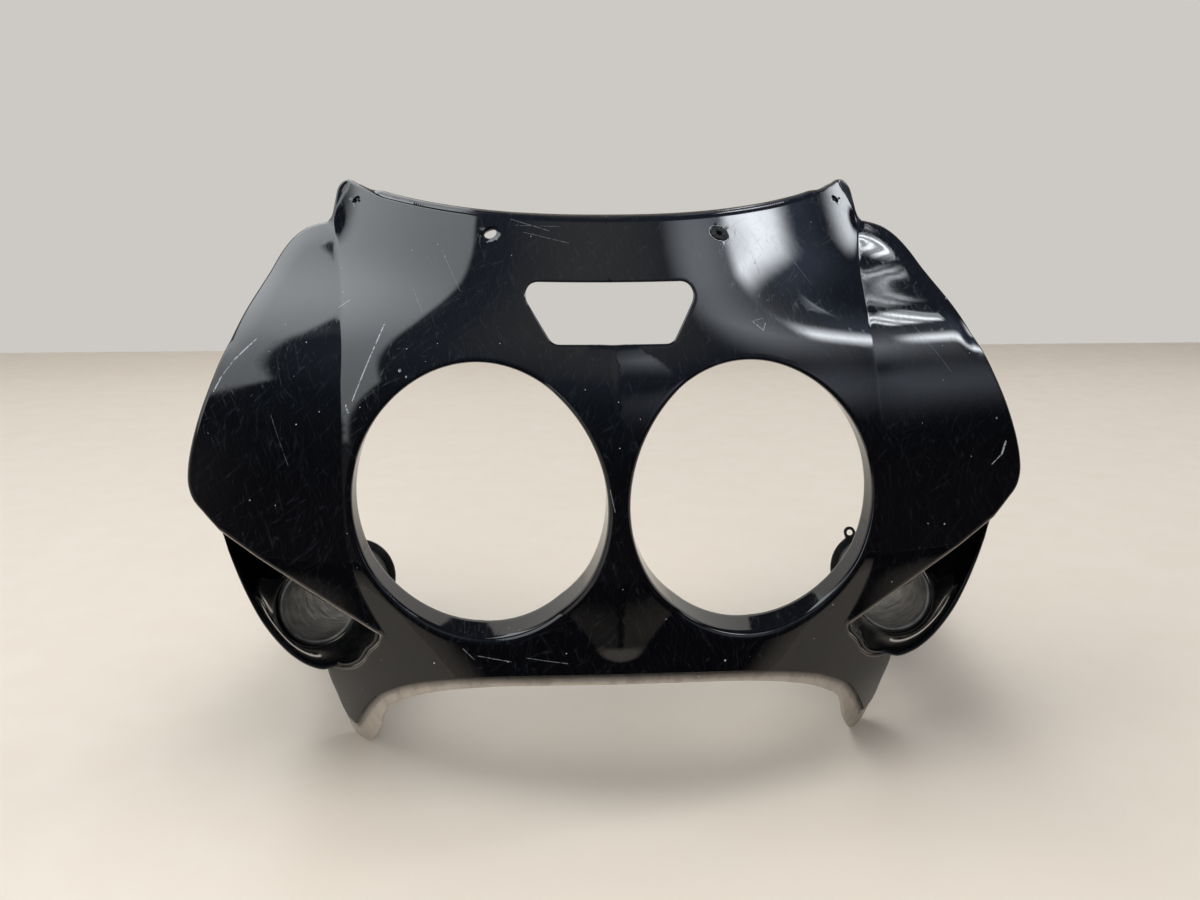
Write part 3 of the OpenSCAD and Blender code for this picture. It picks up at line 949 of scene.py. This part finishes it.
def near_line(tree, flat, start, end, width):
    """1 on the straight line between two places on the face, 0 half a width away from it."""
    a = Vector((start[0], 0, start[1]))
    along = Vector((end[0], 0, end[1])) - a
    rel = node(tree, "VectorMath", flat, a, operation="SUBTRACT")
    share = node(tree, "VectorMath", rel, along / along.length_squared, operation="DOT_PRODUCT")
    share = node(tree, "Math", share, 0.0, operation="ADD", use_clamp=True)
    foot = node(tree, "VectorMath", along, share, operation="SCALE")
    off = node(tree, "VectorMath", rel, foot, operation="DISTANCE")
    return node(tree, "MapRange", off, width / 2, width / 6, **SMOOTH)


def nut_ring(tree, where):
    """Light grey ring on the skin round the right screw hole, just outside the well nut's flange."""
    x, z = SCREW[:2]
    off = node(tree, "VectorMath", where, (x, nose(x, z) - MID_Y, z), operation="DISTANCE")
    away = node(tree, "Math", off, SCREW[3] + 0.2, operation="SUBTRACT")
    away = node(tree, "Math", away, operation="ABSOLUTE")
    ring = node(tree, "MapRange", away, 0.55, 0.2, **SMOOTH)
    return node(tree, "Math", ring, 0.9, operation="MULTIPLY")


def most(tree, masks):
    """The largest of several masks."""
    total = masks[0]
    for mask in masks[1:]:
        total = node(tree, "Math", total, mask, operation="MAXIMUM")
    return total


def shade(tree, colour, roughness, height=None, depth=1.0):
    """Ends a material in a plastic's shader; height times depth is its relief in millimetres."""
    shader = node(tree, "BsdfPrincipled", Base_Color=colour, Roughness=roughness, IOR=1.5)
    if height is not None:
        bump = node(tree, "Bump", Height=height, Strength=1.0, Distance=depth * MM)
        tree.links.new(shader.node.inputs["Normal"], bump)
    node(tree, "OutputMaterial", shader)


def gloss_black_abs():
    """Gloss black injection-moulded ABS that has been wiped and handled for years.

    The eye sees a deep black mirror with sharp reflections, a thin veil of fine wiping
    scratches, a few long grey ones, white dust specks and smudges where it is less sharp.
    """
    made, tree = new_material("gloss_black_abs")
    where = millimetres(tree)
    flat = node(tree, "VectorMath", where, (1, 0, 1), operation="MULTIPLY")
    # Real wiping scratches are some hundredths of a millimetre wide and closer together. These
    # are drawn coarser, so that they show: turn, length, gap and width
    wiped = ((65, 30, 2.2, 0.1), (-38, 34, 2.6, 0.1), (100, 26, 2.9, 0.1))
    fine = most(tree, [hairlines(tree, where, *run) for run in wiped])
    marks = []
    for start, end, width, grey in SCRATCHES:
        marks.append(node(tree, "Math", near_line(tree, flat, start, end, width), grey, operation="MULTIPLY"))
    marks.append(nut_ring(tree, where))
    for x, z, r in CHIPS:
        marks.append(near_line(tree, flat, (x, z), (x + 0.1, z), 2 * r))
    broken = patches(tree, where, 1.6, 2, 0.5, 0.3, 0.55)
    long = node(tree, "Math", most(tree, marks), broken, operation="MULTIPLY")
    dust = most(tree, [specks(tree, where, 6, 0.75, 0.22), specks(tree, where, 14, 1.3, 0.16)])
    uneven = patches(tree, where, 9, 3, 0.6, 0.3, 0.6, 0.75, 1.0)
    worn = node(tree, "Attribute", attribute_name="worn", take="Fac")
    worn = node(tree, "Math", worn, uneven, operation="MULTIPLY")

    faint = node(tree, "Math", fine, 0.3, operation="MULTIPLY")
    colour = node(tree, "Mix", faint, "#050608", "#2b3038", data_type="RGBA")
    colour = node(tree, "Mix", long, colour, "#aab0b6", data_type="RGBA")
    colour = node(tree, "Mix", worn, colour, "#aea498", data_type="RGBA")
    colour = node(tree, "Mix", dust, colour, "#b9bcbc", data_type="RGBA")

    smudge = patches(tree, where, 42, 4, 0.6, 0.48, 0.72)
    dull = node(tree, "MapRange", smudge, 0, 1, 0.035, 0.075, **SMOOTH)
    dull = node(tree, "Math", dull, node(tree, "Math", fine, 0.12, operation="MULTIPLY"), operation="ADD")
    rough = node(tree, "Math", most(tree, [long, dust, worn]), 0.4, operation="MULTIPLY")
    dull = node(tree, "Math", dull, rough, operation="ADD")
    # The mould's own slight waves, a few hundredths of a millimetre deep
    waves = node(tree, "Math", node(tree, "TexNoise", where, 1 / 24, 1), 0.05, operation="MULTIPLY")
    shade(tree, colour, dull, waves)
    return made


def satin_abs_back():
    """The same ABS as it left the plain side of the mould.

    The eye sees a satin charcoal with a fine even grain, and dust that lies in soft patches.
    """
    made, tree = new_material("satin_abs_back")
    where = millimetres(tree)
    dust = patches(tree, where, 18, 5, 0.65, 0.5, 0.75)
    colour = node(tree, "Mix", dust, "#111113", "#2c2b29", data_type="RGBA")
    dull = patches(tree, where, 12, 3, 0.5, 0.3, 0.7, 0.36, 0.55)
    # The mould's grain is about 0.2 mm wide, and is drawn coarser so that it shows
    shade(tree, colour, dull, node(tree, "TexNoise", where, 1 / 0.9, 2), 0.03)
    return made


def duct_plastic_dust_and_light():
    """Blow-moulded black polyethylene of the air ducts, with years of road dust inside.

    The eye sees a waxy black outside with a soft light on its bends, and inside the bore a
    matt grey coat of dust, denser in patches, painted paler than dust alone as painted light
    that falls into the bore.
    """
    made, tree = new_material("duct_plastic_dust_and_light")
    where = millimetres(tree)
    outside = patches(tree, where, 15, 5, 0.7, 0.45, 0.75)
    outside = node(tree, "Mix", outside, "#17181a", "#36363a", data_type="RGBA")
    # Inside the bore: grey dust, made paler than dust alone as painted light that falls into the bore
    bore_dust_and_light = patches(tree, where, 9, 4, 0.6, 0.35, 0.65)
    bore_dust_and_light = node(tree, "Mix", bore_dust_and_light, "#7d7f80", "#a3a4a2", data_type="RGBA")
    in_bore = node(tree, "Attribute", attribute_name="worn", take="Fac")
    colour = node(tree, "Mix", in_bore, outside, bore_dust_and_light, data_type="RGBA")
    colour = node(tree, "Mix", specks(tree, where, 3.5, 0.9, 0.2), colour, "#8d8a83", data_type="RGBA")
    dull = patches(tree, where, 8, 3, 0.5, 0.3, 0.7, 0.42, 0.6)
    # The skin's orange peel, drawn a little coarser than it is so that it shows
    shade(tree, colour, dull, node(tree, "TexNoise", where, 1 / 1.2, 3), 0.06)
    return made


def moulded_rubber():
    """Moulded nitrile rubber of the well nut.

    The eye sees a dull near-black with a grey bloom on it and a slightly pitted skin.
    """
    made, tree = new_material("moulded_rubber")
    where = millimetres(tree)
    bloom = patches(tree, where, 2.5, 4, 0.7, 0.45, 0.7)
    colour = node(tree, "Mix", bloom, "#101010", "#3a3937", data_type="RGBA")
    dull = patches(tree, where, 1.5, 2, 0.5, 0.3, 0.7, 0.6, 0.85)
    shade(tree, colour, dull, node(tree, "TexNoise", where, 1 / 0.5, 2), 0.05)
    return made


# Studio


# Light round the part, as directions from it. Azimuth is 0 in front and 90 on its right.
# Each soft box: azimuth it stands at, its reach across and up in degrees, how soft its
# edge is, its colour, its strength, dark bars in it (axis they follow each other along,
# number, share), and a slanting cut across its corner (across, up, limit)
SOFT_BOXES = {
    "left_window": (-110, (-55, 60), (35, 61.5), 0.05, "#f1f6f9", 2.4, None, (0.84, 0.54, 1.71)),
    "left_bright": (-138, (-10, 12), (40, 61), 0.22, "#f1f6f9", 0.3, None, None),
    "left_low": (-80, (-24, 24), (-6, 20), 0.3, "#f4f1ea", 1.0, None, None),
    "right_window": (115, (-3, 3.5), (43, 57), 0.1, "#f4f9ff", 15.0, None, None),
    "right_sky": (124, (-9, 8), (36, 50), 0.16, "#93a5c4", 0.7, None, None),
    "right_low": (127, (-4, 3), (25, 31), 0.06, "#f4f9ff", 5.0, None, None),
    "right_haze": (108, (-6, 5), (56, 70), 0.6, "#eef3fb", 4.0, None, None),
    "wing_window": (138, (-5, 5), (47.5, 54), 0.03, "#f5faff", 12.0, ("Z", 3, 0.7), None),
    "wing_stripes": (147, (-2, 3), (43.5, 46.5), 0.03, "#f5faff", 4.0, ("Z", 2, 0.6), None),
    "wing_glow": (66, (-14, 14), (36, 56), 0.3, "#dfe6f5", 1.1, None, None),
}
# Room between the soft boxes, from the horizon to overhead (share of the way up, colour)
ROOM = ((0.0, "#3a2c30"), (0.35, "#2f3037"), (0.8, "#4b5362"), (0.93, "#70798a"), (1.0, "#b9b9bb"))



def soft_box(tree, ray, box):
    """Light of one soft box in each direction, straight-edged as a flat panel is."""
    azimuth, across, up, edge, colour, strength, bars, cut = box
    turned = node(tree, "Mapping", ray, vector_type="TEXTURE",
                  Rotation=(0, 0, math.radians(180 + azimuth)), Scale=(-1, 1, 1))
    parts = node(tree, "SeparateXYZ", turned).node.outputs
    mask = node(tree, "MapRange", parts["Y"], 0.02, 0.06, **SMOOTH)
    deep = node(tree, "Math", parts["Y"], 0.01, operation="MAXIMUM")
    seen = {axis: node(tree, "Math", parts[axis], deep, operation="DIVIDE") for axis in "XZ"}
    if cut:
        slant = node(tree, "Math", seen["Z"], cut[1], operation="MULTIPLY")
        aside = node(tree, "Math", seen["X"], cut[0], operation="MULTIPLY")
        slant = node(tree, "Math", slant, aside, operation="ADD")
        kept = node(tree, "MapRange", slant, cut[2] + edge, cut[2] - edge, **SMOOTH)
        mask = node(tree, "Math", mask, kept, operation="MULTIPLY")
    for axis, span in (("X", across), ("Z", up)):
        low, high = (math.tan(math.radians(v)) for v in span)
        half = (high - low) / 2
        off = node(tree, "Math", seen[axis], (low + high) / 2, operation="SUBTRACT")
        off = node(tree, "Math", off, operation="ABSOLUTE")
        within = node(tree, "MapRange", off, half + edge, half - edge, **SMOOTH)
        mask = node(tree, "Math", mask, within, operation="MULTIPLY")
        if bars and axis == bars[0]:
            _, count, share = bars
            wave = node(tree, "Math", seen[axis], math.pi * count / half, operation="MULTIPLY")
            wave = node(tree, "Math", wave, operation="SINE")
            open_part = node(tree, "MapRange", wave, -1 + share, -1 + 2.5 * share, 0.25, 1.0, **SMOOTH)
            mask = node(tree, "Math", mask, open_part, operation="MULTIPLY")
    light = [c * strength for c in linear(colour)[:3]]
    return node(tree, "VectorMath", light, mask, operation="SCALE")


def room_light():
    """World: a dim room with soft boxes round it, all by direction."""
    world = bpy.data.worlds.new("room")
    bpy.context.scene.world = world
    world.use_nodes = True
    tree = world.node_tree
    tree.nodes.clear()
    ray = node(tree, "TexCoord", take="Generated")
    total = node(tree, "ValToRGB", node(tree, "SeparateXYZ", ray, take="Z"))
    stops = total.node.color_ramp.elements
    for place, _ in ROOM[1:-1]:
        stops.new(place)
    for stop, (place, colour) in zip(stops, ROOM):
        stop.position = place
        stop.color = linear(colour)
    for box in SOFT_BOXES.values():
        total = node(tree, "VectorMath", total, soft_box(tree, ray, box), operation="ADD")
    node(tree, "OutputWorld", node(tree, "Background", total, Strength=1.0))


def pale_wall():
    """Matt backdrop that shows its own colour to the camera and in reflections."""
    made, tree = new_material("pale_wall")
    path = node(tree, "LightPath").node.outputs
    seen = most(tree, [path[k] for k in ("Is Camera Ray", "Is Glossy Ray", "Is Transmission Ray")])
    matt = node(tree, "BsdfDiffuse", WALL_COLOUR)
    glow = node(tree, "Emission", WALL_COLOUR, 1.0)
    node(tree, "OutputMaterial", node(tree, "MixShader", seen, matt, glow))
    return made


def pale_floor():
    """Honed pale stone: matt, with a faint soft sheen and barely a cloud in its colour."""
    made, tree = new_material("pale_floor")
    where = millimetres(tree)
    cloud = node(tree, "TexNoise", where, 1 / 60, 4, 0.6)
    colour = node(tree, "Mix", cloud, FLOOR_COLOUR, FLOOR_CLOUD, data_type="RGBA")
    shade(tree, colour, patches(tree, where, 30, 3, 0.5, 0.3, 0.7, 0.42, 0.55))
    return made


def painted_floor_reflection_and_shade():
    """Glowing card over the floor in front, seen in reflections only: a painted reflection of the floor that
    darkens into painted shade away from the part.
    """
    made, tree = new_material("painted_floor_reflection_and_shade")
    away = node(tree, "SeparateXYZ", millimetres(tree), take="Y")
    share = node(tree, "MapRange", away, *PAINTED_SHADE_FADE, **SMOOTH)
    colour = node(tree, "Mix", share, REFLECTED_FLOOR_NEAR, PAINTED_SHADE_FAR, data_type="RGBA")
    node(tree, "OutputMaterial", node(tree, "Emission", colour, 1.0))
    return made


def stage_piece(name, wide, high, place, lean, material):
    """A flat piece round the object, which is not part of it."""
    bpy.ops.mesh.primitive_plane_add(size=1, location=place, rotation=(math.radians(lean), 0, 0))
    made = bpy.context.object
    made.name = name
    made.scale = (wide, high, 1)
    bpy.ops.object.transform_apply(location=True, rotation=True, scale=True)
    made.data.materials.append(material)
    return made


def studio():
    """Floor and low backdrop, and a glowing card that only reflections show, with a painted reflection of the
    floor and painted shade.
    """
    bpy.context.scene.view_settings.view_transform = "Standard"
    floor = stage_piece("floor", 8, 8, (0, 0, 0), 0, pale_floor())
    wall = stage_piece("backdrop", 8, WALL_HIGH, (0, WALL_BACK, WALL_HIGH / 2), 90, pale_wall())
    # The card glows, and paints the floor's reflection and the shade on the floor in front
    card = stage_piece("floor_reflection_card", 6, 6, (0, -3.25, 0.001), 0, painted_floor_reflection_and_shade())
    for kind in ("camera", "diffuse", "transmission", "shadow"):
        setattr(card, f"visible_{kind}", False)


def fill_lamp(name, place, aim, size, power):
    """A white area lamp that reflections don't show."""
    lamp = bpy.data.lights.new(name, "AREA")
    lamp.shape = "RECTANGLE"
    lamp.size, lamp.size_y = size
    lamp.energy = power
    made = bpy.data.objects.new(name, lamp)
    bpy.context.scene.collection.objects.link(made)
    made.location = place
    made.rotation_euler = (Vector(aim) - Vector(place)).to_track_quat("-Z", "Y").to_euler()
    made.visible_glossy = False


def lights():
    """A broad fill from the camera's side and one overhead, so that matt colours render as written."""
    fill_lamp("front_fill", (-0.3, -1.7, 0.6), (0, 0, 0.1), (1.6, 0.9), 17)
    fill_lamp("top_fill", (-0.3, 0.2, 2.2), (0, 0, 0), (2.0, 2.0), 30)


def camera():
    """Camera at the photograph's place."""
    data = bpy.data.cameras.new("photo_camera")
    data.sensor_width = SENSOR
    data.lens = FOCAL_PIXELS / FRAME_WIDE * SENSOR
    data.shift_y = (AXIS_ROW - FRAME_HIGH / 2) / FRAME_WIDE
    made = bpy.data.objects.new("photo_camera", data)
    bpy.context.scene.collection.objects.link(made)
    x, y, z = CAMERA_AT
    made.location = (x * MM, (y - MID_Y) * MM, z * MM)
    made.rotation_euler = (math.radians(90 - CAMERA_TILT), 0, math.radians(CAMERA_TURN))
    bpy.context.scene.camera = made


# Assembly

gloss = gloss_black_abs()
back_face = satin_abs_back()
duct = duct_plastic_dust_and_light()
rubber = moulded_rubber()

camera()
studio()
room_light()
lights()

half = solid("shell_sheets", Sheets().build(), [gloss, back_face], both=True)
scoops = []
for side, turn in TURNS.items():
    stock = scoop(turn)
    if side == "left":
        stock.points = [p * [-1, 1, 1] for p in stock.points]
    scoops.append(solid(f"{side}_scoop", stock, [gloss, back_face]))
shell = joined("fairing_moulding", [half, *scoops])
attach(shell, "root")
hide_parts("fairing_shell")

for side, lug_turn, sign in (("right", LUG_ANGLE, 1), ("left", 180 - LUG_ANGLE, -1)):
    pipe = duct_pipe(f"{side}_duct", TURNS[side], lug_turn, sign, duct)
    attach(pipe, "root")
    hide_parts(f"{side}_duct_pipe")

nut = well_nut(rubber)
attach(nut, "root")
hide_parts("well_nut")
